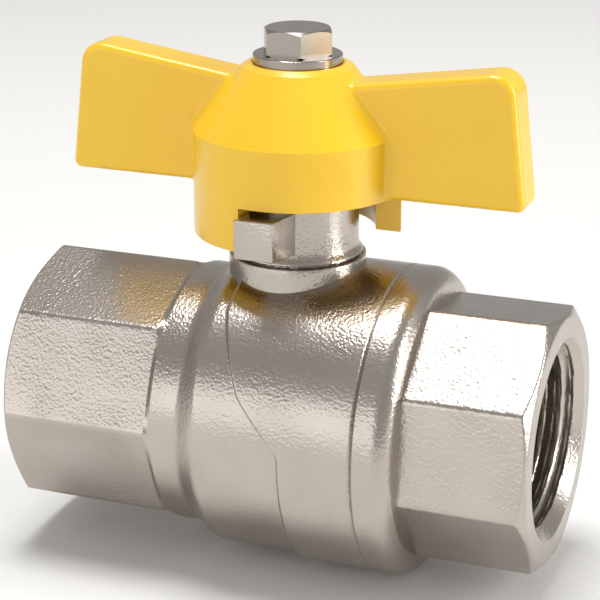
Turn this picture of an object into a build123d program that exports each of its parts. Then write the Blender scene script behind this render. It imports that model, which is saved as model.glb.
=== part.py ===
from build123d import *
import os
from math import cos, radians, sqrt, tan

# Two-piece G 1/2 ball valve with female threads and a butterfly handle, in millimetres.
# The origin is the ball's centre: +X is the pipe axis towards the outlet, +Z the stem axis upwards.
# The valve stands open, so the wings lie along the pipe.

# ---------------------------------------------------------------- driving dimensions
inlet_end = 30.0  # stem axis to the inlet face
outlet_end = 30.4  # stem axis to the outlet face
seam_x = 12.4  # joint face between body and end connector
chamfer_angle = 30  # of both end chamfers and the screw head's, degrees
inlet_face_radius = 14.1  # outer radius of each end face, inside its 30 degree chamfer
outlet_face_radius = 13.5

# G 1/2 pipe thread of both ports
thread_minor_radius = 9.3155
thread_major_radius = 10.4775
thread_depth = 14.0
mouth_radius = thread_major_radius + 0.7  # outer edge of the lead-in chamfer

# body, outside
body_flats = 28.4  # across flats
body_octagon_end = -11.8  # where the flats run out
band_radius = 14.9
band_end = -8.3
barrel_wall = 1.1  # over the joint seal's groove
barrel_start = -6.0
pad_step = 0.6  # how far the middle of the barrel is raised
pad_low_x = 4.15  # left edge of the pad below the pipe axis
pad_turn_x = -0.8
pad_turn_z = 6.0
pad_top_x = -4.3
pad_top_z = 13.5

# neck
collar_radius = 7.57
collar_top = 18.2
collar_step = 0.3  # ledge between collar and flare
neck_radius = 6.74
neck_foot = 19.2  # where the flare under the neck ends
neck_top = 27.4
lug_width = 4.4
lug_reach = 13.0  # stem axis to the lug's outer face
lug_tip_bottom = 20.6
lug_tip_top = 24.9
lug_root_bottom = 19.0
lug_root_top = 24.1

# end connector, outside
connector_flats = 27.6
connector_turn = 15.5  # how far the octagon is turned once it is screwed home, degrees
flange_face = 16.6
flange_round = 2.4
nose_wall = 2.95  # of the screwed-in nose, outside the seat
nose_gap = 0.8  # nose to the stem's flange

# ball, seats and seals
ball_radius = 12.0
flow_radius = 7.5
seat_inner_radius = 7.6
seat_depth = 2.209  # of the seat's hollow
seat_land = 1.28  # flat ring outside the hollow
seat_lip = 1.185  # thickness behind the hollow's inner edge
ring_section = 0.72  # section radius of the seals behind the seats and at the joint
backing_inset = 1.4  # seat's outer edge to the backing seal's centre line
joint_groove_width = 1.5
cavity_room = 0.6  # round the ball

# stem
stem_radius = 3.75
flange_reach = 1.45  # of the stem's flange, past its shaft
flange_gap = 0.4  # over the ball
flange_thickness = 1.7
tang_thickness = 4.9
tang_width = 7.8
slot_depth = 3.0
thrust_washer = 0.85
stem_shoulder = 28.5
stem_top = 38.4
stem_flats = 5.5
stem_seal_squeeze = 0.03  # play left round each stem seal
stem_seal_heights = (17.0, 19.0)
stem_groove_depth = 0.95
stem_groove_width = 1.3

# stem sealing in the neck
packing_floor = 21.0
packing_height = 1.6
packing_wall = 1.2  # of the packing rings
gland_head_flats = 11.0
gland_head_height = 0.9

# handle
hub_radius = 11.4
skirt_wall = 2.8
skirt_bottom = 20.7
wing_bottom = 25.6
cone_foot = 32.0
cone_top = 38.9
cone_top_radius = 6.1
cone_foot_round = 1.2
cone_top_round = 0.6
skirt_round = 0.15
rim_height = 39.3
rim_radius = 5.4
recess_depth = 0.25
recess_play = 0.2  # round the washer
boss_wall = 1.6
boss_lift = 0.1  # over the stem's shoulder
pocket_top = 33.0
pocket_top_radius = 6.3
pocket_shoulder = 30.5
wing_thickness = 5.2
wing_reach = 26.3  # at the wing's foot
wing_tip_reach = 24.6  # at the wing's upper corner
wing_tip_height = 40.4
wing_root_height = 36.8  # of the top edge, carried on to the stem axis
wing_corner = 2.5
wing_foot_corner = 0.85
wing_edge = 0.8
wing_root_round = 1.0

# washer and screw
washer_radius = 4.85
screw_play = 0.15  # of the screw in the washer and the handle
washer_thickness = 1.2
washer_edge = 0.12
screw_radius = 2.0
screw_length = 10.0
screw_flats = 7.0
screw_head = 2.8
screw_rim = 3.4  # radius of the head's flat top
screw_foot = 3.75  # and of its underside
screw_turn = -4.0  # where the head came to rest, degrees

# fits
running = 0.05  # radial clearance of turning pieces
stop_gap = 0.2  # free travel between lug and skirt at each end of the turn
room = 0.3  # free space round pieces that don't bear on each other
ball_gap = 0.1  # between ball and seats

# ---------------------------------------------------------------- sizes that follow from others
octagon_corner = 1 / cos(radians(22.5))
lead_in = mouth_radius - thread_minor_radius
dish_radius = ball_radius + ball_gap
dish_inner_x = sqrt(dish_radius**2 - seat_inner_radius**2)
seat_front = dish_inner_x - seat_depth
seat_rim = sqrt(dish_radius**2 - seat_front**2)
seat_back = dish_inner_x + seat_lip
seat_outer_radius = seat_rim + seat_land
backing_radius = seat_outer_radius - backing_inset
cavity_radius = ball_radius + cavity_room
joint_thread_radius = seat_outer_radius + running + nose_wall
joint_groove_radius = joint_thread_radius + joint_groove_width
barrel_radius = joint_groove_radius + barrel_wall
pad_radius = barrel_radius + pad_step
slot_floor = ball_radius - slot_depth
tang_bottom = slot_floor + room
flange_bottom = ball_radius + flange_gap
flange_top = flange_bottom + flange_thickness
flange_radius = stem_radius + flange_reach
connector_nose = flange_radius + nose_gap
neck_shoulder = flange_top + thrust_washer + running
stem_groove_radius = stem_radius - stem_groove_depth
stem_seal_section = (stem_radius + running - stem_groove_radius - stem_seal_squeeze) / 2
packing_radius = stem_radius + running + packing_wall
skirt_inner_radius = hub_radius - skirt_wall
boss_radius = stem_radius + running + boss_wall
boss_bottom = stem_shoulder + boss_lift
washer_bore = screw_radius + screw_play
recess_radius = washer_radius + recess_play
washer_bottom = rim_height - recess_depth
washer_top = washer_bottom + washer_thickness


def end_blank_outline(face_x, inner_x, flats, face_radius):
    """Half outline of an end's round blank, with its end chamfer."""
    corner = flats / 2 * octagon_corner
    slope = (corner - face_radius) * tan(radians(chamfer_angle))
    inward = 1 if inner_x > face_x else -1
    return [
        (face_x, 0),
        (face_x, face_radius),
        (face_x + inward * slope, corner),
        (inner_x, corner),
        (inner_x, 0),
    ]


def port_outline(face_x, inner_x):
    """Half outline of a port: lead-in, thread bore, then the flow bore to inner_x."""
    inward = 1 if inner_x > face_x else -1
    floor_x = face_x + inward * thread_depth
    return [
        (face_x, 0),
        (face_x, mouth_radius),
        (face_x + inward * lead_in, thread_minor_radius),
        (floor_x, thread_minor_radius),
        (floor_x, flow_radius),
        (inner_x, flow_radius),
        (inner_x, 0),
    ]


def box_outline(x_low, x_high, r_low, r_high):
    """Rectangular half outline between two places and two radii."""
    return [(x_low, r_low), (x_high, r_low), (x_high, r_high), (x_low, r_high)]


os.makedirs("parts", exist_ok=True)
finished = []

# ---------------------------------------------------------------- body
# The pad stands a little proud of the barrel and narrows in a V below the neck.
with BuildPart() as raised_pad:
    with BuildSketch(Plane.XZ):
        with BuildLine():
            Polyline(
                (seam_x, -pad_radius),
                (pad_low_x, -pad_radius),
                (pad_low_x, 0.6),
                (pad_turn_x, pad_turn_z),
                (pad_top_x, pad_top_z),
                (pad_top_x, pad_radius),
                (seam_x, pad_radius),
                close=True,
            )
        make_face()
    extrude(amount=pad_radius, both=True)
    with BuildSketch(Plane.XY):
        with Locations((seam_x / 2, pad_radius / 2)):
            Rectangle(seam_x + 2 * barrel_radius, pad_radius)
    revolve(axis=Axis.X, mode=Mode.INTERSECT)

with BuildPart() as valve_body:
    with BuildSketch(Plane.YZ.offset(-inlet_end)):
        RegularPolygon(body_flats / 2, 8, major_radius=False)
    extrude(amount=inlet_end + body_octagon_end)
    with BuildSketch(Plane.XY):
        with BuildLine():
            Polyline(
                *end_blank_outline(-inlet_end, body_octagon_end, body_flats, inlet_face_radius),
                close=True,
            )
        make_face()
    revolve(axis=Axis.X, mode=Mode.INTERSECT)
    with BuildSketch(Plane.XY):
        with BuildLine():
            Polyline(
                (body_octagon_end, 0),
                (body_octagon_end, band_radius),
                (band_end, band_radius),
                (barrel_start, barrel_radius),
                (seam_x, barrel_radius),
                (seam_x, 0),
                close=True,
            )
        make_face()
    revolve(axis=Axis.X)
    add(raised_pad.part)
    # neck with its collar and flare
    with BuildSketch(Plane.XZ):
        with BuildLine():
            Polyline(
                (0, 0),
                (collar_radius, 0),
                (collar_radius, collar_top),
                (collar_radius - collar_step, collar_top),
                (neck_radius, neck_foot),
                (neck_radius, neck_top),
                (0, neck_top),
                close=True,
            )
        make_face()
    revolve(axis=Axis.Z)
    # stop lug on the front of the neck
    with BuildSketch(Plane.YZ):
        with BuildLine():
            Polyline(
                (-neck_radius / 2, lug_root_bottom),
                (-lug_reach, lug_tip_bottom),
                (-lug_reach, lug_tip_top),
                (-neck_radius / 2, lug_root_top),
                close=True,
            )
        make_face()
    extrude(amount=lug_width / 2, both=True)
    # inlet port, ball cavity, seat pocket, joint thread and seal groove
    with BuildSketch(Plane.XY):
        with BuildLine():
            Polyline(*port_outline(-inlet_end, 0), close=True)
        make_face()
    revolve(axis=Axis.X, mode=Mode.SUBTRACT)
    for outline in (
        box_outline(-seat_back, 0, 0, seat_outer_radius + running),
        box_outline(-seat_front, seam_x, 0, cavity_radius),
        box_outline(connector_nose - room, seam_x, 0, joint_thread_radius),
        box_outline(seam_x - joint_groove_width, seam_x, 0, joint_groove_radius),
        box_outline(
            -seat_back - 2 * ring_section - running,
            -seat_back,
            backing_radius - ring_section - running,
            backing_radius + ring_section + running,
        ),
    ):
        with BuildSketch(Plane.XY):
            with BuildLine():
                Polyline(*outline, close=True)
            make_face()
        revolve(axis=Axis.X, mode=Mode.SUBTRACT)
    # stem passage: room for the flange, the sealed bore, then the packing chamber
    with BuildSketch(Plane.XZ):
        with BuildLine():
            Polyline(
                (0, 0),
                (flange_radius + room, 0),
                (flange_radius + room, neck_shoulder),
                (stem_radius + running, neck_shoulder),
                (stem_radius + running, packing_floor),
                (packing_radius, packing_floor),
                (packing_radius, neck_top),
                (0, neck_top),
                close=True,
            )
        make_face()
    revolve(axis=Axis.Z, mode=Mode.SUBTRACT)
valve_body.part.label = "valve_body"
finished.append(valve_body.part)

# ---------------------------------------------------------------- end connector
with BuildPart() as end_connector:
    with BuildSketch(Plane.YZ.offset(seam_x)):
        RegularPolygon(connector_flats / 2, 8, major_radius=False, rotation=connector_turn)
    extrude(amount=outlet_end - seam_x)
    with BuildSketch(Plane.XY):
        with BuildLine():
            Polyline(
                *end_blank_outline(outlet_end, seam_x, connector_flats, outlet_face_radius),
                close=True,
            )
        make_face()
    revolve(axis=Axis.X, mode=Mode.INTERSECT)
    # nose with the joint thread, and the round flange with its rolled shoulder
    with BuildSketch(Plane.XY):
        with BuildLine():
            Polyline(
                (flange_face, pad_radius - flange_round),
                (flange_face, 0),
                (connector_nose, 0),
                (connector_nose, joint_thread_radius),
                (seam_x, joint_thread_radius),
                (seam_x, pad_radius),
                (flange_face - flange_round, pad_radius),
            )
            RadiusArc(
                (flange_face - flange_round, pad_radius),
                (flange_face, pad_radius - flange_round),
                flange_round,
            )
        make_face()
    revolve(axis=Axis.X)
    with BuildSketch(Plane.XY):
        with BuildLine():
            Polyline(*port_outline(outlet_end, connector_nose), close=True)
        make_face()
    revolve(axis=Axis.X, mode=Mode.SUBTRACT)
    for outline in (
        box_outline(connector_nose, seat_back, 0, seat_outer_radius + running),
        box_outline(
            seat_back,
            seat_back + 2 * ring_section + running,
            backing_radius - ring_section - running,
            backing_radius + ring_section + running,
        ),
    ):
        with BuildSketch(Plane.XY):
            with BuildLine():
                Polyline(*outline, close=True)
            make_face()
        revolve(axis=Axis.X, mode=Mode.SUBTRACT)
end_connector.part.label = "end_connector"
finished.append(end_connector.part)

# ---------------------------------------------------------------- ball
with BuildPart() as ball:
    Sphere(ball_radius)
    Cylinder(flow_radius, 2 * ball_radius, rotation=(0, 90, 0), mode=Mode.SUBTRACT)
    # the slot that the stem's tang turns in lies across the bore
    with BuildSketch(Plane.XY.offset(slot_floor)):
        Rectangle(tang_thickness + 2 * running, 2 * ball_radius)
    extrude(amount=ball_radius - slot_floor, mode=Mode.SUBTRACT)
ball.part.label = "ball"
finished.append(ball.part)

# ---------------------------------------------------------------- seats and their backing seals
# Drawn for the outlet side, and turned round the stem axis for the inlet side.
for port, turn in (("outlet", 0), ("inlet", 180)):
    side_plane = Plane.XY.rotated((0, 0, turn))
    with BuildPart() as seat_ring:
        with BuildSketch(side_plane):
            with BuildLine():
                RadiusArc((dish_inner_x, seat_inner_radius), (seat_front, seat_rim), -dish_radius)
                Polyline(
                    (seat_front, seat_rim),
                    (seat_front, seat_outer_radius),
                    (seat_back, seat_outer_radius),
                    (seat_back, seat_inner_radius),
                    (dish_inner_x, seat_inner_radius),
                )
            make_face()
        revolve(axis=Axis.X)
    seat_ring.part.label = "seat_ring_" + port
    finished.append(seat_ring.part)

    with BuildPart() as backing_ring:
        with BuildSketch(side_plane):
            with Locations((seat_back + ring_section, backing_radius)):
                Circle(ring_section)
        revolve(axis=Axis.X)
    backing_ring.part.label = "seat_backing_ring_" + port
    finished.append(backing_ring.part)

# ---------------------------------------------------------------- joint seal
with BuildPart() as joint_seal:
    with BuildSketch(Plane.XY):
        with Locations(
            (
                seam_x - joint_groove_width / 2,
                (joint_thread_radius + joint_groove_radius) / 2,
            )
        ):
            Circle(ring_section)
    revolve(axis=Axis.X)
joint_seal.part.label = "joint_seal"
finished.append(joint_seal.part)

# ---------------------------------------------------------------- stem
with BuildPart() as stem:
    with BuildSketch(Plane.XZ):
        with BuildLine():
            Polyline(
                (0, flange_bottom),
                (flange_radius, flange_bottom),
                (flange_radius, flange_top),
                (stem_radius, flange_top),
                (stem_radius, stem_top),
                (0, stem_top),
                close=True,
            )
        make_face()
    revolve(axis=Axis.Z)
    # tang that drives the ball
    with BuildSketch(Plane.XY.offset(tang_bottom)):
        Rectangle(tang_thickness, tang_width)
    extrude(amount=flange_bottom - tang_bottom)
    # two flats that drive the handle
    with BuildSketch(Plane.XY.offset(stem_shoulder)):
        with GridLocations(0, stem_flats + stem_radius, 1, 2):
            Rectangle(2 * stem_radius, stem_radius)
    extrude(amount=stem_top - stem_shoulder, mode=Mode.SUBTRACT)
    # grooves of the two stem seals
    for height in stem_seal_heights:
        with BuildSketch(Plane.XY.offset(height - stem_groove_width / 2)):
            Circle(stem_radius)
            Circle(stem_groove_radius, mode=Mode.SUBTRACT)
        extrude(amount=stem_groove_width, mode=Mode.SUBTRACT)
    # tapped hole for the handle screw
    with BuildSketch(Plane.XY.offset(stem_top)):
        Circle(screw_radius)
    extrude(amount=-(stem_top - washer_top + screw_length + 2 * room), mode=Mode.SUBTRACT)
stem.part.label = "stem"
finished.append(stem.part)

with BuildPart() as stem_thrust_washer:
    with BuildSketch(Plane.XY.offset(flange_top)):
        Circle(flange_radius)
        Circle(stem_radius + running, mode=Mode.SUBTRACT)
    extrude(amount=thrust_washer)
stem_thrust_washer.part.label = "stem_thrust_washer"
finished.append(stem_thrust_washer.part)

for height, place in zip(stem_seal_heights, ("lower", "upper")):
    with BuildPart() as stem_seal:
        with BuildSketch(Plane.XZ):
            with Locations((stem_groove_radius + stem_seal_section, height)):
                Circle(stem_seal_section)
        revolve(axis=Axis.Z)
    stem_seal.part.label = "stem_o_ring_" + place
    finished.append(stem_seal.part)

# ---------------------------------------------------------------- packing and gland nut
for layer, place in enumerate(("lower", "upper")):
    with BuildPart() as packing_ring:
        with BuildSketch(Plane.XY.offset(packing_floor + layer * packing_height)):
            Circle(packing_radius)
            Circle(stem_radius + running, mode=Mode.SUBTRACT)
        extrude(amount=packing_height)
    packing_ring.part.label = "packing_ring_" + place
    finished.append(packing_ring.part)

packing_top = packing_floor + 2 * packing_height
with BuildPart() as gland_nut:
    with BuildSketch(Plane.XY.offset(packing_top)):
        Circle(packing_radius)
    extrude(amount=neck_top - packing_top)
    with BuildSketch(Plane.XY.offset(neck_top)):
        RegularPolygon(gland_head_flats / 2, 6, major_radius=False)
    extrude(amount=gland_head_height)
    with BuildSketch(Plane.XY.offset(packing_top)):
        Circle(stem_radius + running)
    extrude(amount=neck_top + gland_head_height - packing_top, mode=Mode.SUBTRACT)
gland_nut.part.label = "gland_nut"
finished.append(gland_nut.part)

# ---------------------------------------------------------------- handle
# One wing, with its rounded edges. Its inner end is buried in the hub.
wing_inner = skirt_inner_radius / 2
wing_slope = (wing_tip_height - wing_root_height) / wing_tip_reach
with BuildPart() as wing:
    with BuildSketch(Plane.XZ):
        with BuildLine():
            Polyline(
                (wing_inner, wing_bottom),
                (wing_reach, wing_bottom),
                (wing_tip_reach, wing_tip_height),
                (wing_inner, wing_root_height + wing_slope * wing_inner),
                close=True,
            )
        make_face()
        outer_corners = vertices().group_by(Axis.X)
        fillet(outer_corners[-1], wing_foot_corner)
        fillet(vertices().group_by(Axis.Y)[-1], wing_corner)
    extrude(amount=wing_thickness / 2, both=True)
    side_faces = faces().filter_by(Axis.Y)
    fillet(side_faces.edges(), wing_edge)

with BuildPart() as handle:
    with BuildSketch(Plane.XZ):
        with BuildLine():
            Polyline(
                (0, skirt_bottom),
                (hub_radius, skirt_bottom),
                (hub_radius, cone_foot),
                (cone_top_radius, cone_top),
                (rim_radius, rim_height),
                (recess_radius, rim_height),
                (recess_radius, washer_bottom),
                (0, washer_bottom),
                close=True,
            )
        make_face()
        outer_corners = vertices().group_by(Axis.X)[-1].sort_by(Axis.Y)
        fillet(outer_corners[0], skirt_round)
        fillet(outer_corners[-1], cone_foot_round)
        cone_corner = vertices().sort_by_distance((cone_top_radius, cone_top))[0]
        fillet(cone_corner, cone_top_round)
    revolve(axis=Axis.Z)
    add([wing.part, wing.part.rotate(Axis.Z, 180)])
    fillet(edges(Select.NEW), wing_root_round)
    # hollow of the hub round the neck, with the boss left standing above it
    with BuildSketch(Plane.XZ):
        with BuildLine():
            Polyline(
                (0, skirt_bottom),
                (skirt_inner_radius, skirt_bottom),
                (skirt_inner_radius, pocket_shoulder),
                (pocket_top_radius, pocket_top),
                (boss_radius, pocket_top),
                (boss_radius, boss_bottom),
                (0, boss_bottom),
                close=True,
            )
        make_face()
    revolve(axis=Axis.Z, mode=Mode.SUBTRACT)
    # a quarter of the skirt is cut away so that the handle turns past the lug
    skirt_cut = lug_width / 2 + stop_gap
    with BuildSketch(Plane.XY.offset(skirt_bottom)):
        with Locations((-skirt_cut, skirt_cut)):
            Rectangle(2 * hub_radius, 2 * hub_radius, align=(Align.MIN, Align.MAX))
    extrude(amount=wing_bottom - skirt_bottom, mode=Mode.SUBTRACT)
    # socket for the stem's flats, and the screw's hole above it
    with BuildSketch(Plane.XY.offset(boss_bottom)):
        Circle(stem_radius + running)
        Rectangle(
            2 * hub_radius,
            stem_flats + 2 * running,
            mode=Mode.INTERSECT,
        )
    extrude(amount=stem_top + running - boss_bottom, mode=Mode.SUBTRACT)
    with BuildSketch(Plane.XY.offset(washer_bottom)):
        Circle(washer_bore)
    extrude(amount=-(washer_bottom - stem_top), mode=Mode.SUBTRACT)
handle.part.label = "handle"
finished.append(handle.part)

# ---------------------------------------------------------------- washer and screw
with BuildPart() as handle_washer:
    with BuildSketch(Plane.XY.offset(washer_bottom)):
        Circle(washer_radius)
        Circle(washer_bore, mode=Mode.SUBTRACT)
    extrude(amount=washer_thickness)
    fillet(edges(), washer_edge)
handle_washer.part.label = "handle_washer"
finished.append(handle_washer.part)

screw_corner = screw_flats / 2 / cos(radians(30))
rim_drop = (screw_corner - screw_rim) * tan(radians(chamfer_angle))
foot_rise = (screw_corner - screw_foot) * tan(radians(chamfer_angle))
with BuildPart() as handle_screw:
    with BuildSketch(Plane.XY.offset(washer_top)):
        RegularPolygon(screw_flats / 2, 6, major_radius=False, rotation=screw_turn)
    extrude(amount=screw_head)
    # both rims of the head are turned off on a lathe
    with BuildSketch(Plane.XZ):
        with BuildLine():
            Polyline(
                (0, washer_top),
                (screw_foot, washer_top),
                (screw_corner, washer_top + foot_rise),
                (screw_corner, washer_top + screw_head - rim_drop),
                (screw_rim, washer_top + screw_head),
                (0, washer_top + screw_head),
                close=True,
            )
        make_face()
    revolve(axis=Axis.Z, mode=Mode.INTERSECT)
    with BuildSketch(Plane.XY.offset(washer_top)):
        Circle(screw_radius)
    extrude(amount=-screw_length)
handle_screw.part.label = "handle_screw"
finished.append(handle_screw.part)

for piece in finished:
    export_step(piece, "parts/" + piece.label + ".step")
    print(piece.label, round(piece.volume / 1000, 3), "cm3")
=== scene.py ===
# %% [markdown]
# # A nickel-plated ball valve with a butterfly handle
# The real valve is a forged brass body and end connector, sand-blasted and nickel plated, with a
# yellow enamelled handle held by a stainless steel screw. The measured CAD model is the frame:
# it says where every piece is and how it moves. This notebook gives the pieces their looks.
# The body and the connector are rebuilt here, because their soft forged edges and their
# screw threads are what the eye looks for on such a part.

# %% Load the measured frame
import math

import bmesh
import bpy
import numpy as np
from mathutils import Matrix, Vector


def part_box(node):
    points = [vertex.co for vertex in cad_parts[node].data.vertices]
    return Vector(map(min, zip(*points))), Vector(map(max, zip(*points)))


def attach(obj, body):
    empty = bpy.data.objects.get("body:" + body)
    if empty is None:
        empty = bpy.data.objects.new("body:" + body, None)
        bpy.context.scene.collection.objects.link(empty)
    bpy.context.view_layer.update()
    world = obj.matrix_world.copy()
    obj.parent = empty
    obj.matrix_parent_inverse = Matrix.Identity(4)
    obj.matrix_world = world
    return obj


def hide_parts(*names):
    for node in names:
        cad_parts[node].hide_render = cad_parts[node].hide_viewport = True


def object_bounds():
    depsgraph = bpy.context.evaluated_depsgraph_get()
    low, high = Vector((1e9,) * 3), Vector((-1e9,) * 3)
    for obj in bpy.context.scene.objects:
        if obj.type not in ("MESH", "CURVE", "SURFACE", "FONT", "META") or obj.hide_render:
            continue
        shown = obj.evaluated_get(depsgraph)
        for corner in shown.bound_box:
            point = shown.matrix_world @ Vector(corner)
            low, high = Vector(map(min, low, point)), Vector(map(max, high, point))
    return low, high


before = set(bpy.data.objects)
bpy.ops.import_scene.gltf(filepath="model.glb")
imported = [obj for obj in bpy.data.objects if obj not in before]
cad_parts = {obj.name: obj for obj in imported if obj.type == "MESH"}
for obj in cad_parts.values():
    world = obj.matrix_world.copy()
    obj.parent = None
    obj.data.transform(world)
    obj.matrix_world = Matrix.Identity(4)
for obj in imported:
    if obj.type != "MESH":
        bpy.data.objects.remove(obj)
cad_low, cad_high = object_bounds()
MM = 0.001

# %% [markdown]
# ## Three small helpers
# Colours are written as sRGB hex, as a paint chart gives them, and turned to linear light.
# One function adds any node to any tree. One function builds a mesh object from arrays.

# %% Helpers


def linear(code):
    """Linear RGBA of an sRGB hex colour."""
    parts = [int(code[i : i + 2], 16) / 255 for i in (1, 3, 5)]
    light = [c / 12.92 if c <= 0.04045 else ((c + 0.055) / 1.055) ** 2.4 for c in parts]
    return (*light, 1.0)


def add_node(tree, kind, inputs=None, **settings):
    """Adds a node, sets its properties, then links or sets its inputs, by name or by place."""
    made = tree.nodes.new(kind)
    for key, value in settings.items():
        setattr(made, key, value)
    for key, value in (inputs or {}).items():
        if isinstance(value, bpy.types.Node):
            value = next(s for s in value.outputs if s.enabled)
        if isinstance(value, bpy.types.NodeSocket):
            tree.links.new(value, made.inputs[key])
        else:
            made.inputs[key].default_value = value
    return made


def mesh_object(name, points, faces):
    """A new object at the origin whose mesh has these points and faces."""
    mesh = bpy.data.meshes.new(name)
    mesh.from_pydata([tuple(p) for p in points], [], faces)
    made = bpy.data.objects.new(name, mesh)
    bpy.context.collection.objects.link(made)
    return made


print("middle grey in linear light:", [round(c, 3) for c in linear("#808080")[:3]])

# %% [markdown]
# ## The camera
# A long lens, a little above the valve and to the right of its front, so that both the
# stop lug and the threads in the open end are seen.

# %% Camera
CAMERA_PLACE = (0.07841, -0.20022, 0.08573)
CAMERA_TILT = 71.124  # degrees from straight down
CAMERA_YAW = 21.323  # degrees to the right of the front
CAMERA_LENS = 122.17  # mm, on a 36 mm sensor
CAMERA_REACH = (0.01, 20)
camera = bpy.data.objects.new("camera", bpy.data.cameras.new("camera"))
bpy.context.collection.objects.link(camera)
camera.location = CAMERA_PLACE
camera.rotation_euler = (math.radians(CAMERA_TILT), 0, math.radians(CAMERA_YAW))
camera.data.sensor_width = 36
camera.data.lens = CAMERA_LENS
camera.data.clip_start, camera.data.clip_end = CAMERA_REACH
bpy.context.scene.camera = camera
print("camera is", round(camera.location.length * 1000), "mm from the ball's centre")

# %% [markdown]
# ## Sand-blasted nickel
# The forging was blasted with grit and plated with nickel. The plating copies the grit's
# dimples, so the metal mirrors its surroundings in a pebbly, broken way. The dimples are
# a bump pattern: cells about a third of a millimetre wide, softened with noise.

# %% Blasted nickel
GRIT = 0.3 * MM  # width of one dimple
GRIT_DEPTH = 0.048 * MM
PATCH = 6 * MM  # width of a patch where the blasting bit deeper
NICKEL = "#C3BCB5"
NICKEL_SHADE = "#AFA69C"


def surface_tree(name, colour, metallic, roughness):
    """A new material with these plain values, its node tree and its shader node."""
    made = bpy.data.materials.new(name)
    made.use_nodes = True
    tree = made.node_tree
    shader = tree.nodes["Principled BSDF"]
    shader.inputs["Base Color"].default_value = linear(colour)
    shader.inputs["Metallic"].default_value = metallic
    shader.inputs["Roughness"].default_value = roughness
    return made, tree, shader


blasted_nickel, tree, shader = surface_tree("blasted_nickel_plated_brass", NICKEL, 1.0, 0.26)
place = add_node(tree, "ShaderNodeTexCoord").outputs["Object"]
cells = add_node(
    tree,
    "ShaderNodeTexVoronoi",
    {"Vector": place, "Scale": 1 / GRIT, "Smoothness": 0.6},
    feature="SMOOTH_F1",
)
fine = add_node(
    tree, "ShaderNodeTexNoise", {"Vector": place, "Scale": 0.7 / GRIT, "Detail": 3.0}
)
height = add_node(
    tree,
    "ShaderNodeMath",
    {0: cells.outputs["Distance"], 1: 0.7, 2: fine.outputs["Fac"]},
    operation="MULTIPLY_ADD",
)
patches = add_node(
    tree, "ShaderNodeTexNoise", {"Vector": place, "Scale": 1 / PATCH, "Detail": 2.0}
)
depth = add_node(
    tree,
    "ShaderNodeMapRange",
    {
        "Value": patches.outputs["Fac"],
        "From Min": 0.35,
        "From Max": 0.65,
        "To Min": 0.5,
        "To Max": 1.0,
    },
)
bump = add_node(
    tree,
    "ShaderNodeBump",
    {"Strength": depth.outputs["Result"], "Distance": GRIT_DEPTH, "Height": height},
)
tree.links.new(bump.outputs["Normal"], shader.inputs["Normal"])
tone = add_node(
    tree,
    "ShaderNodeMix",
    {"Factor": patches.outputs["Fac"], 6: linear(NICKEL), 7: linear(NICKEL_SHADE)},
    data_type="RGBA",
)
tree.links.new(tone.outputs[2], shader.inputs["Base Color"])
print("blasted nickel: dimples of", GRIT / MM, "mm")

# %% [markdown]
# ## Machined nickel
# The end faces, the mouth, the threads and the lug's front are cut on a lathe or mill and
# then plated. They are smoother than the blasted skin and carry fine rings from the tool.
# Distance along the axis plus distance from it gives rings on faces and bores alike.

# %% Machined nickel
TOOL_RING = 0.22 * MM  # feed per turn, drawn a little coarse so that it shows
TOOL_GRAIN = 0.35 * MM
TOOL_DEPTH = 0.012 * MM
machined_nickel, tree, shader = surface_tree("machined_nickel_plated_brass", "#BCB5AD", 1.0, 0.2)
place = add_node(tree, "ShaderNodeTexCoord").outputs["Object"]
axes = add_node(tree, "ShaderNodeSeparateXYZ", {"Vector": place})
across = add_node(tree, "ShaderNodeCombineXYZ", {"Y": axes.outputs["Y"], "Z": axes.outputs["Z"]})
radius = add_node(tree, "ShaderNodeVectorMath", {0: across}, operation="LENGTH")
run = add_node(
    tree,
    "ShaderNodeMath",
    {0: axes.outputs["X"], 1: radius.outputs["Value"]},
    operation="ADD",
)
turns = add_node(
    tree, "ShaderNodeMath", {0: run, 1: math.tau / TOOL_RING}, operation="MULTIPLY"
)
rings = add_node(tree, "ShaderNodeMath", {0: turns}, operation="SINE")
grain = add_node(
    tree, "ShaderNodeTexNoise", {"Vector": place, "Scale": 1 / TOOL_GRAIN, "Detail": 3.0}
)
height = add_node(
    tree,
    "ShaderNodeMath",
    {0: rings, 1: 0.12, 2: grain.outputs["Fac"]},
    operation="MULTIPLY_ADD",
)
bump = add_node(
    tree, "ShaderNodeBump", {"Strength": 0.6, "Distance": TOOL_DEPTH, "Height": height}
)
tree.links.new(bump.outputs["Normal"], shader.inputs["Normal"])
print("machined nickel: tool rings every", TOOL_RING / MM, "mm")

# %% [markdown]
# ## Yellow enamel
# The handle is a light alloy casting with a baked satin enamel. Enamel levels itself, so it
# shows only a faint waviness about a millimetre wide, and its gloss is soft.

# %% Yellow enamel
PEEL = 0.9 * MM  # width of one wave of the enamel
PEEL_DEPTH = 0.012 * MM
DRIFT = 9 * MM  # width of a patch of slightly different yellow
yellow_enamel, tree, shader = surface_tree("satin_yellow_enamel", "#F8C820", 0.0, 0.34)
place = add_node(tree, "ShaderNodeTexCoord").outputs["Object"]
peel = add_node(
    tree, "ShaderNodeTexNoise", {"Vector": place, "Scale": 1 / PEEL, "Detail": 1.5}
)
bump = add_node(
    tree,
    "ShaderNodeBump",
    {"Strength": 0.35, "Distance": PEEL_DEPTH, "Height": peel.outputs["Fac"]},
)
tree.links.new(bump.outputs["Normal"], shader.inputs["Normal"])
drift = add_node(
    tree, "ShaderNodeTexNoise", {"Vector": place, "Scale": 1 / DRIFT, "Detail": 1.0}
)
tone = add_node(
    tree,
    "ShaderNodeMix",
    {"Factor": drift.outputs["Fac"], 6: linear("#F9CB22"), 7: linear("#F3C01A")},
    data_type="RGBA",
)
tree.links.new(tone.outputs[2], shader.inputs["Base Color"])
shader.inputs["Coat Weight"].default_value = 0.5
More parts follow.
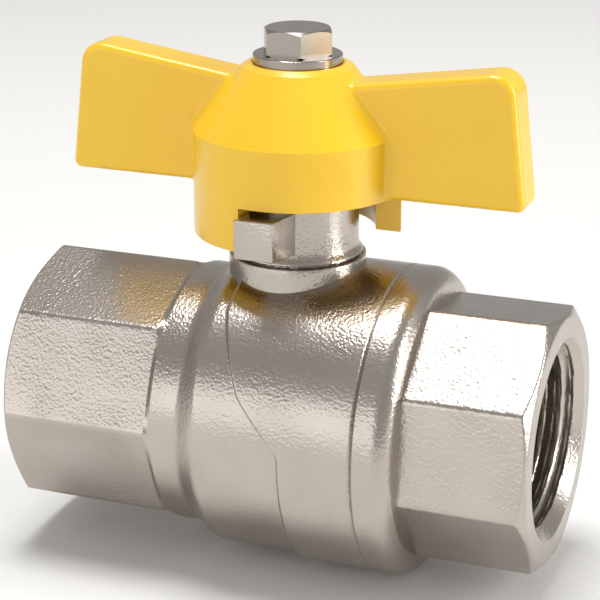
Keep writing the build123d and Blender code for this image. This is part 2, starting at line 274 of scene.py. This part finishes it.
shader.inputs["Coat Roughness"].default_value = 0.2
print("enamel: waves of", PEEL / MM, "mm")

# %% [markdown]
# ## Steel, chrome, brass, PTFE and rubber
# The screw and washer are turned stainless steel. The ball is hard chromed and nearly a
# mirror. The stem and gland nut are bare turned brass. Seats and packings are white PTFE,
# and the seals are black rubber. Each gets its own small pattern.

# %% The smaller finishes


def grained(name, colour, metallic, roughness, grain_mm, depth_mm, spread=0.05):
    """A finish with fine even grain in its height and its gloss."""
    made, tree, shader = surface_tree(name, colour, metallic, roughness)
    place = add_node(tree, "ShaderNodeTexCoord").outputs["Object"]
    grain = add_node(
        tree,
        "ShaderNodeTexNoise",
        {"Vector": place, "Scale": 1 / (grain_mm * MM), "Detail": 3.0},
    )
    gloss = add_node(
        tree,
        "ShaderNodeMapRange",
        {
            "Value": grain.outputs["Fac"],
            "To Min": roughness - spread,
            "To Max": roughness + spread,
        },
    )
    bump = add_node(
        tree,
        "ShaderNodeBump",
        {"Strength": 0.5, "Distance": depth_mm * MM, "Height": grain.outputs["Fac"]},
    )
    tree.links.new(gloss.outputs["Result"], shader.inputs["Roughness"])
    tree.links.new(bump.outputs["Normal"], shader.inputs["Normal"])
    return made


stainless = grained("turned_stainless_steel", "#A69F97", 1.0, 0.22, 0.5, 0.004)
hard_chrome = grained("hard_chromed_brass", "#C9CBCD", 1.0, 0.1, 0.8, 0.002, 0.02)
turned_brass = grained("turned_brass", "#C7A85C", 1.0, 0.3, 0.3, 0.006)
ptfe = grained("moulded_ptfe", "#EDEBE6", 0.0, 0.42, 0.6, 0.004)
seal_rubber = grained("moulded_nitrile_rubber", "#1C1B1A", 0.0, 0.6, 0.25, 0.01)
print("five smaller finishes made")

# %% Put a finish on every carried-over CAD piece
FINISHES = {
    "handle": yellow_enamel,
    "handle_screw": stainless,
    "handle_washer": stainless,
    "ball": hard_chrome,
    "stem": turned_brass,
    "gland_nut": turned_brass,
    "seat_ring_inlet": ptfe,
    "seat_ring_outlet": ptfe,
    "stem_thrust_washer": ptfe,
    "packing_ring_lower": ptfe,
    "packing_ring_upper": ptfe,
    "joint_seal": seal_rubber,
    "seat_backing_ring_inlet": seal_rubber,
    "seat_backing_ring_outlet": seal_rubber,
    "stem_o_ring_lower": seal_rubber,
    "stem_o_ring_upper": seal_rubber,
}
for name, finish in FINISHES.items():
    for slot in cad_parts[name].material_slots:
        slot.material = finish
print(len(FINISHES), "CAD pieces finished")

# %% [markdown]
# ## The pipe thread
# Both ends have a G 1/2 female thread: a V-shaped groove that winds round the bore once
# every 1.814 mm. A rule makes it, so Geometry Nodes build it: a flat grid is rolled into
# a tube, and the radius at each point depends on how far the point is along the axis and
# round it. The groove fades out at the bore's floor, and a 45 degree lead-in opens the mouth.

# %% The thread's node tree
PITCH = 1.814 * MM
MINOR = 9.3155 * MM
MAJOR = 10.4775 * MM
MOUTH = 11.18 * MM  # outer edge of the lead-in
THREAD_DEPTH = 14.0 * MM
THREAD_GRID = {"Rows": 128, "Columns": 161}


def thread_tree():
    """Node group that rolls a grid into a threaded bore round the X axis."""
    tree = bpy.data.node_groups.new("threaded bore", "GeometryNodeTree")
    sizes = {"Face": 0.0, "Direction": 1.0, "Depth": THREAD_DEPTH, "Pitch": PITCH}
    sizes.update({"Minor Radius": MINOR, "Major Radius": MAJOR, "Mouth Radius": MOUTH})
    for name, value in sizes.items():
        socket = tree.interface.new_socket(name, in_out="INPUT", socket_type="NodeSocketFloat")
        socket.default_value = value
    for name, value in THREAD_GRID.items():
        socket = tree.interface.new_socket(name, in_out="INPUT", socket_type="NodeSocketInt")
        socket.default_value = value
    tree.interface.new_socket("Finish", in_out="INPUT", socket_type="NodeSocketMaterial")
    tree.interface.new_socket("Geometry", in_out="OUTPUT", socket_type="NodeSocketGeometry")
    given = tree.nodes.new("NodeGroupInput").outputs

    def math_node(operation, *values):
        return add_node(tree, "ShaderNodeMath", dict(enumerate(values)), operation=operation)

    grid = add_node(
        tree,
        "GeometryNodeMeshGrid",
        {
            "Size X": 1.0,
            "Size Y": 1.0,
            "Vertices X": given["Rows"],
            "Vertices Y": given["Columns"],
        },
    )
    point = add_node(tree, "GeometryNodeInputPosition")
    flat = add_node(tree, "ShaderNodeSeparateXYZ", {"Vector": point})
    along = math_node("MULTIPLY", math_node("ADD", flat.outputs["X"], 0.5), given["Depth"])
    angle = math_node("MULTIPLY", flat.outputs["Y"], math.tau)
    place = math_node("MULTIPLY_ADD", along, given["Direction"], given["Face"])
    # how far the point is from the nearest groove, counted in half pitches
    turn = math_node("SUBTRACT", math_node("DIVIDE", place, given["Pitch"]), flat.outputs["Y"])
    wave = math_node("ABSOLUTE", math_node("MULTIPLY_ADD", math_node("FRACT", turn), 2.0, -1.0))
    groove = add_node(
        tree,
        "ShaderNodeMapRange",
        {"Value": wave, "From Min": 0.08, "From Max": 0.92},
        interpolation_type="SMOOTHSTEP",
    )
    left = math_node("DIVIDE", math_node("SUBTRACT", given["Depth"], along), given["Pitch"])
    fade = add_node(
        tree,
        "ShaderNodeMapRange",
        {"Value": left, "From Min": 0.3, "From Max": 1.8},
        interpolation_type="SMOOTHSTEP",
    )
    full = math_node("SUBTRACT", given["Major Radius"], given["Minor Radius"])
    share = math_node("MULTIPLY", groove.outputs["Result"], fade.outputs["Result"])
    cut = math_node("MULTIPLY", share, full)
    wall = math_node("ADD", given["Minor Radius"], cut)
    lead_in = math_node("SUBTRACT", given["Mouth Radius"], along)
    radius = math_node("MAXIMUM", wall, lead_in)
    rolled = add_node(
        tree,
        "ShaderNodeCombineXYZ",
        {
            "X": place,
            "Y": math_node("MULTIPLY", radius, math_node("COSINE", angle)),
            "Z": math_node("MULTIPLY", radius, math_node("SINE", angle)),
        },
    )
    tube = add_node(tree, "GeometryNodeSetPosition", {"Geometry": grid, "Position": rolled})
    sewn = add_node(tree, "GeometryNodeMergeByDistance", {"Geometry": tube, "Distance": 0.001 * MM})
    real = add_node(tree, "GeometryNodeRealizeInstances", {"Geometry": sewn})
    dressed = add_node(
        tree, "GeometryNodeSetMaterial", {"Geometry": real, "Material": given["Finish"]}
    )
    add_node(tree, "NodeGroupOutput", {"Geometry": dressed})
    return tree


THREADED_BORE = thread_tree()
print("thread tree has", len(THREADED_BORE.nodes), "nodes")

# %% Turn the tree into a bore mesh


def threaded_bore(name, **values):
    """A plain mesh of the threaded bore, with these values on the tree's named inputs."""
    host = mesh_object(name, [(0, 0, 0)], [])
    modifier = host.modifiers.new("thread", "NODES")
    modifier.node_group = THREADED_BORE
    for item in THREADED_BORE.interface.items_tree:
        if item.in_out == "INPUT" and item.name in values:
            modifier[item.identifier] = values[item.name]
    settled = host.evaluated_get(bpy.context.evaluated_depsgraph_get())
    made = bpy.data.meshes.new_from_object(settled)
    bpy.data.objects.remove(host)
    print(name, "has", len(made.polygons), "faces")
    return made


FACE_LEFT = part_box("valve_body")[0].x
FACE_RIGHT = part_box("end_connector")[1].x
inlet_bore = threaded_bore(
    "inlet_thread", Face=FACE_LEFT, Direction=1.0, Finish=machined_nickel
)
outlet_bore = threaded_bore(
    "outlet_thread", Face=FACE_RIGHT, Direction=-1.0, Finish=machined_nickel
)

# %% [markdown]
# ## Octagonal forgings
# Body and connector are round and eight-sided by turns. Both can be drawn as rings of
# points round the pipe axis whose radius depends on the angle. The columns crowd
# together at the eight ridges, because that is where a forging's soft rounding is.

# %% Rings round the pipe axis
RIDGES = 8
FACET = math.tau / RIDGES


def ring_angles(per_facet, first_ridge, crowding):
    """Angles from +Y towards +Z of one ring's columns, crowded at the ridges."""
    p = np.linspace(-1, 1, per_facet, endpoint=False)
    b = FACET / 2 * (p + crowding * np.sin(math.pi * p) / math.pi)
    return np.concatenate([first_ridge + FACET * (k + 0.5) + b for k in range(RIDGES)])


def octagon_radius(angles, flats, first_ridge, ridge_round):
    """Radius of an octagon with rounded ridges, at each angle."""
    half = flats / 2
    b = np.abs((angles - first_ridge) % FACET - FACET / 2)
    sides = half / np.cos(b)
    centre = (half - ridge_round) / math.cos(FACET / 2)
    off = FACET / 2 - b
    inside = np.maximum(ridge_round**2 - (centre * np.sin(off)) ** 2, 0)
    rounded = centre * np.cos(off) + np.sqrt(inside)
    tangent = math.atan((half - ridge_round) * math.tan(FACET / 2) / half)
    return np.where(b > tangent, rounded, sides)


def smooth_min(a, b, soft):
    """The lesser of two sizes, with the change from one to the other rounded."""
    h = np.clip(0.5 + 0.5 * (b - a) / soft, 0, 1)
    return b * (1 - h) + a * h - soft * h * (1 - h)


def smooth_max(a, b, soft):
    """The greater of two sizes, rounded in the same way."""
    return -smooth_min(-a, -b, soft)


def ease(value, low, high):
    """0 below low, 1 above high, and a smooth S between."""
    t = np.clip((value - low) / (high - low), 0, 1)
    return t * t * (3 - 2 * t)


def rings_to_mesh(name, rings, angles):
    """An object from rings of (x, radius), each a number or one value a column."""
    count = len(angles)
    points = []
    for x, r in rings:
        x = np.broadcast_to(x, count)
        r = np.broadcast_to(r, count)
        points.append(np.stack([x, r * np.cos(angles), r * np.sin(angles)], axis=1))
    faces = []
    for i in range(len(rings) - 1):
        for j in range(count):
            k = (j + 1) % count
            low, high = i * count, (i + 1) * count
            faces.append((low + j, low + k, high + k, high + j))
    return mesh_object(name, np.concatenate(points), faces)


def walk(places, counts):
    """Rings on straight lines from one (x, radius) place to the next, without the last."""
    rings = []
    for start, end, count in zip(places, places[1:], counts):
        for k in range(count):
            x = start[0] + (end[0] - start[0]) * k / count
            radius = start[1] + (end[1] - start[1]) * k / count
            rings.append((x, radius))
    return rings


print("each facet spans", round(math.degrees(FACET)), "degrees")

# %% Close a forging with its threaded bore


def stitch(bm, inner, outer):
    """Triangles that fill the flat gap between two rings of points round the pipe axis."""

    def turn(point):
        return math.atan2(point.co.z, point.co.y)

    near, far = sorted(inner, key=turn), sorted(outer, key=turn)
    i = j = 0
    made = []
    while i < len(near) or j < len(far):
        a, b = near[i % len(near)], far[j % len(far)]
        next_a, next_b = near[(i + 1) % len(near)], far[(j + 1) % len(far)]
        turn_a = turn(next_a) + (math.tau if i + 1 >= len(near) else 0)
        turn_b = turn(next_b) + (math.tau if j + 1 >= len(far) else 0)
        if j >= len(far) or (i < len(near) and turn_a <= turn_b):
            made.append(bm.faces.new((a, b, next_a)))
            i += 1
        else:
            made.append(bm.faces.new((a, b, next_b)))
            j += 1
    return made


def join_bore(shell, bore):
    """Adds the bore's mesh to the shell and fills the flat gap at each end of it."""
    bm = bmesh.new()
    bm.from_mesh(shell.data)
    for face in bm.faces:
        face.material_index = 0
    start = len(bm.faces)
    bm.from_mesh(bore)
    bm.faces.ensure_lookup_table()
    for face in bm.faces[start:]:
        face.material_index = 1
    rims = {v for e in bm.edges if e.is_boundary for v in e.verts}
    for x in sorted({round(v.co.x, 6) for v in rims}):
        flat = [v for v in rims if abs(v.co.x - x) < 1e-6]
        reach = [math.hypot(v.co.y, v.co.z) for v in flat]
        middle = (min(reach) + max(reach)) / 2
        inner = [v for v, r in zip(flat, reach) if r < middle]
        outer = [v for v, r in zip(flat, reach) if r >= middle]
        for face in stitch(bm, inner, outer):
            face.material_index = 1
    bmesh.ops.recalc_face_normals(bm, faces=bm.faces)
    bm.to_mesh(shell.data)
    bm.free()
    uses = np.zeros(len(shell.data.edges), int)
    loops = np.zeros(len(shell.data.loops), int)
    shell.data.loops.foreach_get("edge_index", loops)
    np.add.at(uses, loops, 1)
    print(shell.name, len(shell.data.polygons), "faces,", int((uses != 2).sum()), "open edges")


# %% [markdown]
# ## The end connector
# It screws into the body: a round flange with a rolled shoulder, then an octagon for
# the wrench that came to rest 15.5 degrees round, with its end turned to a chamfer.

# %% Places that both forgings share, inside
FLOW = 7.5 * MM
BORE_RIM = MINOR - 0.5 * MM
SEAT_BACK = 10.6 * MM
SEAT_POCKET = 11.05 * MM
RING_FLOOR = 12.09 * MM  # of the groove behind the seat
RING_INNER = 8.83 * MM
RING_OUTER = 10.37 * MM
JOINT_THREAD = 14.0 * MM
CHAMFER_SLOPE = math.tan(math.radians(60))
LIP = 0.25 * MM  # broken edge at the seam
print("the seats lie", SEAT_BACK / MM, "mm from the ball's centre")

# %% End connector, outside and inside
CONNECTOR_FLATS = 27.6 * MM
CONNECTOR_RIDGE = math.radians(90 + 15.5)
CONNECTOR_LENGTH = 18.0 * MM
SEAM = FACE_RIGHT - CONNECTOR_LENGTH
FLANGE_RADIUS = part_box("end_connector")[1].y
FLANGE_ROLL = 2.4 * MM
ROLL_START = SEAM + 1.9 * MM
OUTLET_FACE = 13.5 * MM
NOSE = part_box("end_connector")[0].x
angles = ring_angles(40, CONNECTOR_RIDGE, 0.55)
octagon = octagon_radius(angles, CONNECTOR_FLATS, CONNECTOR_RIDGE, 0.9 * MM)


def connector_radius(x):
    """Outer radius at x: flange, rolled shoulder, fillet, octagon and end chamfer."""
    past = max(x - ROLL_START, 0)
    shoulder = 0.0
    if past < FLANGE_ROLL:
        shoulder = FLANGE_RADIUS - FLANGE_ROLL + math.sqrt(FLANGE_ROLL**2 - past**2)
    shoulder -= max(LIP - (x - SEAM), 0)
    body = smooth_max(np.full_like(octagon, shoulder), octagon, 0.55 * MM)
    chamfer = (FACE_RIGHT - x) * CHAMFER_SLOPE + OUTLET_FACE
    return smooth_min(body, np.full_like(octagon, chamfer), 0.3 * MM)


stations = np.concatenate(
    [
        SEAM + np.array([0, 0.06, 0.14, 0.25, 0.6, 1.2, 1.9]) * MM,
        np.linspace(SEAM + 2.0 * MM, SEAM + 5.4 * MM, 46),
        np.linspace(SEAM + 5.8 * MM, FACE_RIGHT - 1.4 * MM, 24),
        np.linspace(FACE_RIGHT - 1.3 * MM, FACE_RIGHT, 18),
    ]
)
thread_floor = FACE_RIGHT - THREAD_DEPTH
inside = walk(
    [
        (thread_floor, BORE_RIM),
        (thread_floor, FLOW),
        (RING_FLOOR, FLOW),
        (SEAT_BACK, FLOW),
        (SEAT_BACK, RING_INNER),
        (RING_FLOOR, RING_INNER),
        (RING_FLOOR, RING_OUTER),
        (SEAT_BACK, RING_OUTER),
        (SEAT_BACK, SEAT_POCKET),
        (NOSE, SEAT_POCKET),
        (NOSE, JOINT_THREAD),
        (SEAM, JOINT_THREAD),
        (SEAM, FLANGE_RADIUS - 0.3 * MM),
    ],
    [2, 4, 2, 2, 2, 2, 2, 2, 4, 2, 4, 3],
)
rings = inside + [(x, connector_radius(x)) for x in stations]
rings += [(FACE_RIGHT, r * MM) for r in (12.9, 12.3, 11.8)]
connector = rings_to_mesh("end_connector_skin", rings, angles)
join_bore(connector, outlet_bore)

# %% Dress a finished forging


def dress(piece, node, body, sharp_angle=32):
    """Gives a forging its two finishes and its shading, and lets it stand for its CAD node."""
    mesh = piece.data
    mesh.materials.clear()
    mesh.materials.append(blasted_nickel)
    mesh.materials.append(machined_nickel)
    mesh.shade_smooth()
    mesh.set_sharp_from_angle(angle=math.radians(sharp_angle))
    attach(piece, body)
    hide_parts(node)
    triangles = sum(len(p.vertices) - 2 for p in mesh.polygons)
    print(piece.name, triangles, "triangles")


dress(connector, "end_connector", "housing")

# %% [markdown]
# ## The body
# From the inlet to the seam: an octagon, a round band, a cone, then the barrel over the
# ball. The middle of the barrel is raised by 0.6 mm, and the left edge of that raised
# field is a V below the neck. The same rings draw it, with the edge as a soft step.

# %% Body, outside and inside
BODY_FLATS = 28.4 * MM
BODY_RIDGE = math.radians(90)
BAND = 14.9 * MM
BARREL = 16.6 * MM
CONE_START = -8.4 * MM
CONE_RUN = 2.4 * MM
PAD = 17.2 * MM
INLET_FACE = 14.1 * MM
JOINT_GROOVE = 15.5 * MM
GROOVE_START = SEAM - 1.5 * MM
JOINT_END = 5.7 * MM  # inner end of the joint's thread
CAVITY = 12.6 * MM
CAVITY_START = -7.2 * MM
PAD_EDGE = [(-4.3, 20.0), (-4.3, 13.5), (-0.8, 6.0), (4.15, 0.6), (4.15, -20.0)]
angles = ring_angles(40, BODY_RIDGE, 0.5)
octagon = octagon_radius(angles, BODY_FLATS, BODY_RIDGE, 0.8 * MM)

# The raised field's left edge runs down, in to the left of the neck and back out. Each row
# over the ball keeps its distance from that edge, so that the edge is a clean line.
heights = BARREL * np.sin(angles)
corner_z = [place[1] * MM for place in PAD_EDGE[::-1]]
corner_x = [place[0] * MM for place in PAD_EDGE[::-1]]
EDGE_ROUND = 0.5 * MM
edge_x = np.mean(
    [
        np.interp(heights + offset, corner_z, corner_x)
        for offset in np.linspace(-EDGE_ROUND, EDGE_ROUND, 7)
    ],
    axis=0,
)
EDGE_SOFT = 0.26 * MM  # half the width of the step
EDGE_ROWS = 0.4 * MM  # half the width of the close rows at the step
FIELD_START = -5.2 * MM
FIELD_END = 11.6 * MM


def field_ring(x):
    """A ring over the ball, where the step to the raised field follows its edge."""
    return (x, BARREL + (PAD - BARREL) * ease(x - edge_x, -EDGE_SOFT, EDGE_SOFT))


def body_radius(x):
    """Outer radius at x for every column, left of the raised field."""
    chamfer = (x - FACE_LEFT) * CHAMFER_SLOPE + INLET_FACE
    end = smooth_min(octagon, np.full_like(octagon, chamfer), 0.25 * MM)
    if x < -12.6 * MM:
        return end
    cone = BAND + (x - CONE_START) * (BARREL - BAND) / CONE_RUN
    round_part = smooth_max(BAND, smooth_min(cone, BARREL, 0.35 * MM), 0.3 * MM)
    return end + (round_part - end) * ease(x, -12.4 * MM, -11.5 * MM)


stations = np.concatenate(
    [
        np.linspace(FACE_LEFT, FACE_LEFT + 1.0 * MM, 14),
        np.linspace(FACE_LEFT + 1.2 * MM, -12.8 * MM, 26),
        np.linspace(-12.5 * MM, -11.4 * MM, 12),
        np.linspace(-11.0 * MM, -9.2 * MM, 5),
        np.linspace(-9.0 * MM, -5.4 * MM, 22),
    ]
)
rings = [(FACE_LEFT, r * MM) for r in (11.8, 12.6, 13.4)]
rings += [(x, body_radius(x)) for x in stations]
for share in np.linspace(0, 1, 20, endpoint=False):
    rings.append(field_ring(FIELD_START + (edge_x - EDGE_ROWS - FIELD_START) * share))
for offset in np.linspace(-EDGE_ROWS, EDGE_ROWS, 12, endpoint=False):
    rings.append(field_ring(edge_x + offset))
for share in np.linspace(0, 1, 26):
    rings.append(field_ring(edge_x + EDGE_ROWS + (FIELD_END - edge_x - EDGE_ROWS) * share))
for back, drop in ((0.25, 0), (0.14, 0.11), (0.06, 0.19), (0, 0.25)):
    rings.append((SEAM - back * MM, PAD - drop * MM))
thread_floor = FACE_LEFT + THREAD_DEPTH
rings += walk(
    [
        (SEAM, 16.3 * MM),
        (SEAM, JOINT_GROOVE),
        (GROOVE_START, JOINT_GROOVE),
        (GROOVE_START, JOINT_THREAD),
        (JOINT_END, JOINT_THREAD),
        (JOINT_END, CAVITY),
        (CAVITY_START, CAVITY),
        (CAVITY_START, SEAT_POCKET),
        (-SEAT_BACK, SEAT_POCKET),
        (-SEAT_BACK, RING_OUTER),
        (-RING_FLOOR, RING_OUTER),
        (-RING_FLOOR, RING_INNER),
        (-SEAT_BACK, RING_INNER),
        (-SEAT_BACK, FLOW),
        (thread_floor, FLOW),
        (thread_floor, BORE_RIM),
    ],
    [1, 1, 1, 3, 1, 8, 1, 2, 1, 1, 1, 1, 1, 4, 1],
)
rings.append((thread_floor, BORE_RIM))
body = rings_to_mesh("valve_body_skin", rings, angles)
join_bore(body, inlet_bore)

# %% [markdown]
# ## Neck and stop lug
# The neck is turned: a collar that saddles the barrel, a thin groove, a flare and a plain
# shaft. The lug is a forged block on the neck's front that stops the handle. Each is a
# closed solid of its own, and a boolean joins it to the body, as the forging is one piece.
# Its places are in millimetres.

# %% Turned solids


def turned(name, profile, columns=160):
    """A closed solid turned round the Z axis from (radius, height) places, in mm."""
    angles = np.arange(columns) * math.tau / columns
    points = [(0, 0, profile[0][1] * MM)]
    for r, z in profile:
        points += [(r * MM * math.cos(a), r * MM * math.sin(a), z * MM) for a in angles]
    points.append((0, 0, profile[-1][1] * MM))
    faces = []
    for j in range(columns):
        k = (j + 1) % columns
        faces.append((0, 1 + k, 1 + j))
        for i in range(len(profile) - 1):
            low, high = 1 + i * columns, 1 + (i + 1) * columns
            faces.append((low + j, low + k, high + k, high + j))
        top = 1 + (len(profile) - 1) * columns
        faces.append((top + j, top + k, len(points) - 1))
    return mesh_object(name, points, faces)


def arc(centre, radius, start, end, count):
    """Places on an arc in a half plane, in mm and degrees."""
    turns = np.radians(np.linspace(start, end, count))
    return [
        (centre[0] + radius * math.cos(turn), centre[1] + radius * math.sin(turn))
        for turn in turns
    ]


NECK = 6.74
NECK_TOP = 27.4
NECK_EDGE = 0.2
COLLAR = 7.57
COLLAR_EDGE = 0.15
neck_profile = [(COLLAR, 13.0), (COLLAR, 15.0), (COLLAR, 17.0)]
neck_profile += arc((COLLAR - COLLAR_EDGE, 17.98), COLLAR_EDGE, 0, 90, 4)
neck_profile += [(7.24, 18.13), (7.14, 18.0), (7.06, 17.78), (6.88, 17.78), (6.86, 18.26)]
neck_profile += [(7.14, 18.36), (7.22, 18.46), (7.18, 18.6)]
neck_profile += [(7.0, 18.85), (6.84, 19.1), (6.76, 19.4)]
neck_profile += [(NECK, 19.8), (NECK, 22.0), (NECK, 25.0)]
neck_profile += arc((NECK - NECK_EDGE, NECK_TOP - NECK_EDGE), NECK_EDGE, 0, 90, 4)
neck = turned("neck", neck_profile)
passage_profile = [(5.5, 8.0), (5.5, 15.0), (3.8, 15.0), (3.8, 21.0), (5.0, 21.0), (5.0, 30.0)]
passage = turned("passage", passage_profile, 96)
print("the neck is drawn with", len(neck_profile), "places")

# %% The lug
LUG_HALF = 2.2
LUG_ROOT = 5.0
LUG_REACH = 13.0
LUG_EDGE = 0.16
LUG_SLOPE_START = 3.37  # where its top and bottom have their root heights


def lug_sections():
    """Rounded rectangles along -Y, in mm: (y, half width, bottom, top, corner)."""
    sections = []
    for y in (LUG_ROOT, 7.0, 9.0, 11.0, LUG_REACH - LUG_EDGE):
        part = (y - LUG_SLOPE_START) / (LUG_REACH - LUG_SLOPE_START)
        sections.append((y, LUG_HALF, 19.0 + 1.6 * part, 24.1 + 0.8 * part, LUG_EDGE))
    for turn in (30, 60, 90):
        inset = LUG_EDGE * (1 - math.cos(math.radians(turn)))
        y = LUG_REACH - LUG_EDGE + LUG_EDGE * math.sin(math.radians(turn))
        sections.append((y, LUG_HALF - inset, 20.6 + inset, 24.9 - inset, LUG_EDGE))
    return sections


def lofted(name, sections, corner_steps=4):
    """A closed block whose cross-sections are rounded rectangles."""
    points = []
    for y, half, low, high, corner in sections:
        for cx, cz, start in ((1, 1, 0), (-1, 1, 90), (-1, -1, 180), (1, -1, 270)):
            x = cx * (half - corner)
            z = (high - corner) if cz > 0 else (low + corner)
            for a in np.linspace(start, start + 90, corner_steps):
                across = x + corner * math.cos(math.radians(a))
                up = z + corner * math.sin(math.radians(a))
                points.append((across * MM, -y * MM, up * MM))
    count = 4 * corner_steps
    last = len(points) - 1
    faces = [tuple(range(count)), tuple(range(last, last - count, -1))]
    for i in range(len(sections) - 1):
        low, high = i * count, (i + 1) * count
        for j in range(count):
            k = (j + 1) % count
            faces.append((low + j, high + j, high + k, low + k))
    return mesh_object(name, points, faces)


lug = lofted("lug", lug_sections())
print("the lug reaches", LUG_REACH, "mm from the stem's axis")

# %% Join them to the body


def combine(target, tool, operation):
    """One boolean between closed meshes; the tool is used up."""
    bm = bmesh.new()
    bm.from_mesh(tool.data)
    bmesh.ops.recalc_face_normals(bm, faces=bm.faces)
    bm.to_mesh(tool.data)
    bm.free()
    modifier = target.modifiers.new("join", "BOOLEAN")
    modifier.operation = operation
    modifier.solver = "MANIFOLD"
    modifier.object = tool
    settled = target.evaluated_get(bpy.context.evaluated_depsgraph_get())
    made = bpy.data.meshes.new_from_object(settled)
    target.modifiers.clear()
    target.data = made
    bpy.data.objects.remove(tool)
    print(operation.lower(), "gives", len(made.polygons), "faces")


# the lug's front is milled, and so is the passage; the rest keeps its blasted skin
for piece in (body, neck, lug, passage):
    piece.data.materials.append(blasted_nickel)
    piece.data.materials.append(machined_nickel)
lug.data.polygons[1].material_index = 1
for face in passage.data.polygons:
    face.material_index = 1
combine(neck, lug, "UNION")
combine(body, neck, "UNION")
combine(body, passage, "DIFFERENCE")
print([m.name for m in body.data.materials])
dress(body, "valve_body", "housing")

# %% [markdown]
# ## Floor and light
# A pale matt floor and a pale room, as in a product studio: a wide low softbox in front for
# the facets, a tall one on the right for the neck, and a small one overhead for the floor.

# %% Stage and lights
FLOOR_HALF = 2.0
floor_z = cad_low.z - 0.02 * MM
corners = ((-1, -1), (1, -1), (1, 1), (-1, 1))
floor = mesh_object(
    "floor",
    [(x * FLOOR_HALF, y * FLOOR_HALF, floor_z) for x, y in corners],
    [(0, 1, 2, 3)],
)
floor_paint, _, _ = surface_tree("matt_pale_floor", "#EFEEEC", 0.0, 0.7)
floor.data.materials.append(floor_paint)

world = bpy.data.worlds.new("pale_room")
world.use_nodes = True
bpy.context.scene.world = world
room = world.node_tree.nodes["Background"]
room.inputs["Color"].default_value = linear("#F4F3F1")
room.inputs["Strength"].default_value = 0.5


def softbox(name, place, width, height, power):
    """A rectangular white area light at a place, turned towards the valve."""
    lamp = bpy.data.lights.new(name, "AREA")
    lamp.shape = "RECTANGLE"
    lamp.size = width
    lamp.size_y = height
    lamp.energy = power
    made = bpy.data.objects.new(name, lamp)
    bpy.context.collection.objects.link(made)
    made.location = place
    made.rotation_euler = (made.location - CENTRE).to_track_quat("Z", "Y").to_euler()


CENTRE = Vector((0, 0, 0.01))
softbox("front_softbox", (-0.22, -0.52, 0.11), 0.75, 0.26, 0.75)
softbox("right_softbox", (0.52, 0.08, 0.12), 0.08, 0.5, 2.2)
softbox("top_softbox", (-0.06, 0.02, 0.6), 0.24, 0.24, 2.5)
bpy.context.scene.view_settings.view_transform = "Standard"
print("three softboxes and a floor at", round(floor_z / MM, 2), "mm")
